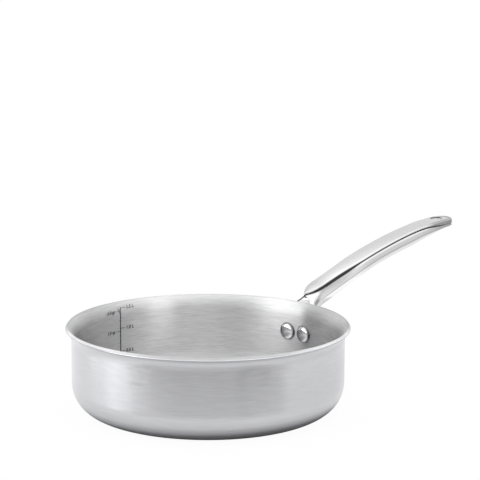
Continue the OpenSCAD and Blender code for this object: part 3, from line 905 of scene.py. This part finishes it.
# studio: tones by direction, in degrees from the camera's side, set by comparing renders with the photograph
studio = {
    "distance": 1.5, "aimHeight": 0.04, "elevation": math.radians(14.0891), "handleTurn": math.radians(43.7),
    "yaw": math.radians(0.9123), "pitch": math.radians(10.795), "roll": math.radians(0.1997),
    "lens": 152.2455, "sensor": 36.0, "clip": (0.1, 20.0),
    "sky": ((-180, 0.82), (-162, 0.95), (-145, 1.0), (-127, 0.7), (-108, 0.25), (-93, 0.18), (-91, 5.6),
            (-60, 5.8), (-50, 3.6), (-40, 1.5), (-28, 0.8), (-23, 0.35), (-12, 0.35), (-7, 0.8), (12, 0.82),
            (22, 1.05), (29, 1.2), (34, 4.7), (50, 4.7), (55, 1.1), (72, 0.72), (90, 0.48), (108, 0.25),
            (127, 0.4), (143, 0.95), (162, 0.95), (180, 0.82)),
    "farGround": ((-180, 0.95), (-124, 0.97), (-108, 1.3), (-82, 1.25), (-73, 1.0), (-64, 0.5), (-42, 0.38),
                  (-16, 0.4), (18, 0.36), (27, 0.22), (35, 0.08), (48, 0.08), (58, 0.5), (73, 0.88),
                  (96, 0.93), (180, 0.95)),
    "midGround": ((-180, 0.95), (-122, 0.95), (-107, 1.06), (-87, 1.15), (-71, 0.95), (-61, 0.62), (-42, 0.6),
                  (-16, 0.59), (20, 0.56), (30, 0.48), (36, 0.42), (48, 0.44), (56, 0.56), (73, 0.78),
                  (96, 0.8), (180, 0.8)),
    "farFrom": 0.22, "farTo": 0.3, "midFrom": 0.12, "midTo": 0.17,  # metres from the pan's axis
    "highSky": ((-180, 0.82), (-145, 1.1), (-109, 0.84), (-98, 0.64), (-93, 0.64), (-90, 1.55), (-60, 1.6),
                (-46, 1.1), (-33, 0.6), (-14, 0.62), (0, 0.7), (25, 0.78), (38, 1.0), (60, 1.0), (90, 1.0),
                (106, 1.0), (125, 1.0), (145, 1.1), (180, 0.82)),
    "highFrom": 0.08, "highTo": 0.33, "zenith": 1.7, "zenithFrom": 0.5, "zenithTo": 0.9,
    "floorReach": 15.0, "floorDrop": 0.05 * mm, "paper": (0.85, 0.85, 0.85, 1), "whiteShare": 0.96,
    # painted shadow round the pan in the floor as the metal sees it, shifted to one side, then its tones by
    # distance
    "roomShare": 0.8, "shadowShift": (2.5 * mm, 0.0, 0.0), "near": 0.2,
    "nearTones": ((0.0, 0.0), (0.4, 0.0), (0.45, 0.08), (0.485, 0.45), (0.52, 0.78), (0.6, 0.88)),
    "lamps": (("topBox", 180, 78, 1.8, (1.2, 1.2), 1.0),),  # azimuth, elevation, distance, size and power
}


def toPan(v):  # from the photographer's axes, with +Y away, to the pan's
    s, c = math.sin(studio["handleTurn"]), math.cos(studio["handleTurn"])
    return Vector((v.x * s + v.y * c, -v.x * c + v.y * s, v.z))


def addCamera():
    yaw, pitch, roll = studio["yaw"], studio["pitch"], studio["roll"]
    ahead = Vector((math.sin(yaw) * math.cos(pitch), math.cos(yaw) * math.cos(pitch), -math.sin(pitch)))
    right = Vector((math.cos(yaw), -math.sin(yaw), 0))
    up = right.cross(ahead)
    right, up = right * math.cos(roll) + up * math.sin(roll), up * math.cos(roll) - right * math.sin(roll)
    place = Vector((0, -studio["distance"] * math.cos(studio["elevation"]),
                    studio["distance"] * math.sin(studio["elevation"]) + studio["aimHeight"]))
    axes = [toPan(right), toPan(up), toPan(-ahead)]
    data = bpy.data.cameras.new("camera")
    data.lens, data.sensor_width, data.sensor_fit = studio["lens"], studio["sensor"], "HORIZONTAL"
    data.clip_start, data.clip_end = studio["clip"]
    camera = bpy.data.objects.new("camera", data)
    bpy.context.scene.collection.objects.link(camera)
    camera.matrix_world = Matrix.Translation(toPan(place)) @ Matrix(axes).transposed().to_4x4()
    bpy.context.scene.camera = camera


def addLamp(name, azimuth, elevation, distance, size, power):  # azimuth from the camera's side, to its right
    turn, rise = math.radians(azimuth), math.radians(elevation)
    where = Vector((math.sin(turn) * math.cos(rise), -math.cos(turn) * math.cos(rise), math.sin(rise)))
    data = bpy.data.lights.new(name, "AREA")
    data.shape, data.size, data.size_y, data.energy = "RECTANGLE", size[0], size[1], power
    lamp = bpy.data.objects.new(name, data)
    bpy.context.scene.collection.objects.link(lamp)
    lamp.location = toPan(where * distance)
    lamp.rotation_euler = (-lamp.location).to_track_quat("-Z", "Y").to_euler()


def sideTone(net, direction, tones):  # how bright the room is by a direction's turn from the camera's side
    ahead, across = (
        net.node("VectorMath", {"operation": "DOT_PRODUCT"}, {0: direction, 1: toPan(Vector(axis))}, "Value")
        for axis in ((0, 1, 0), (1, 0, 0)))
    turn = net.node("Math", {"operation": "ARCTAN2"}, {0: across, 1: 0.0 - ahead})
    stops = [(angle / 360 + 0.5, tone) for angle, tone in studio[tones]]
    return net.node("ValToRGB", {"stops": stops}, {"Fac": turn / (2 * math.pi) + 0.5})


def addWorld():
    world = bpy.data.worlds.new("studio")
    world.use_nodes = True
    world.node_tree.nodes.clear()
    bpy.context.scene.world = world
    net = Net(world.node_tree)
    seen = net.node("LightPath", output="Is Camera Ray")
    direction = net.node("TexCoord", output="Generated")
    rise = net.node("SeparateXYZ", inputs={"Vector": direction}, output="Z")
    room = sideTone(net, direction, "sky")
    zenith = [studio["zenith"]] * 3 + [1]
    for name, tones in (("high", sideTone(net, direction, "highSky")), ("zenith", zenith)):
        reach = smoothStep(net, rise, studio[name + "From"], studio[name + "To"])
        room = net.node("Mix", {"data_type": "RGBA"}, {"Factor": reach, 6: room, 7: tones}, 2)
    tone = net.node("Mix", {"data_type": "RGBA"}, {"Factor": seen, 6: room, 7: (1, 1, 1, 1)}, 2)
    light = net.node("Background", inputs={"Color": tone, "Strength": 1.0})
    net.node("OutputWorld", inputs={"Surface": light})


def addFloor():
    mesh = bpy.data.meshes.new("floor")
    reach = studio["floorReach"]
    corners = [(-reach, -reach, 0), (reach, -reach, 0), (reach, reach, 0), (-reach, reach, 0)]
    mesh.from_pydata(corners, [], [(0, 1, 2, 3)])
    floor = linkPiece("floor", mesh)
    floor.location.z = -studio["floorDrop"]
    material, net = newMaterial("floorPaper")
    seen, shiny = (net.node("LightPath", output=o) for o in ("Is Camera Ray", "Is Glossy Ray"))
    incoming = net.node("NewGeometry", output="Incoming")
    back = net.node("VectorMath", {"operation": "SCALE"}, {0: incoming, "Scale": -1.0})
    # for glossy rays the floor glows with painted light: a painted shadow close round the pan, shifted to one
    # side, and lighter and darker ground by direction further out
    place = net.node("VectorMath", {"operation": "SUBTRACT"}, {
        0: net.node("TexCoord", output="Object"), 1: toPan(Vector(studio["shadowShift"]))})
    away = net.node("VectorMath", {"operation": "LENGTH"}, {0: place}, "Value")
    room = net.node("ValToRGB", {"stops": studio["nearTones"]}, {"Fac": away / studio["near"]})
    for tones in ("mid", "far"):
        reach = smoothStep(net, away, studio[tones + "From"], studio[tones + "To"])
        ground = sideTone(net, back, tones + "Ground")
        room = net.node("Mix", {"data_type": "RGBA"}, {"Factor": reach, 6: room, 7: ground}, 2)
    paper = net.node("BsdfDiffuse", inputs={"Color": studio["paper"]})
    white = net.node("Emission", inputs={"Color": (1, 1, 1, 1), "Strength": 1.0})
    mirrored = net.node("Emission", inputs={"Color": room, "Strength": 1.0})
    glow = net.node("MixShader", inputs={0: shiny, 1: white, 2: mirrored})
    share = seen * studio["whiteShare"] + shiny * studio["roomShare"]
    mixed = net.node("MixShader", inputs={0: share, 1: paper, 2: glow})
    net.node("OutputMaterial", inputs={"Surface": mixed})
    mesh.materials.append(material)


addCamera()
addWorld()
addFloor()
for lamp in studio["lamps"]:
    addLamp(*lamp)
bpy.context.scene.view_settings.view_transform = "Standard"
print("stage: studio")
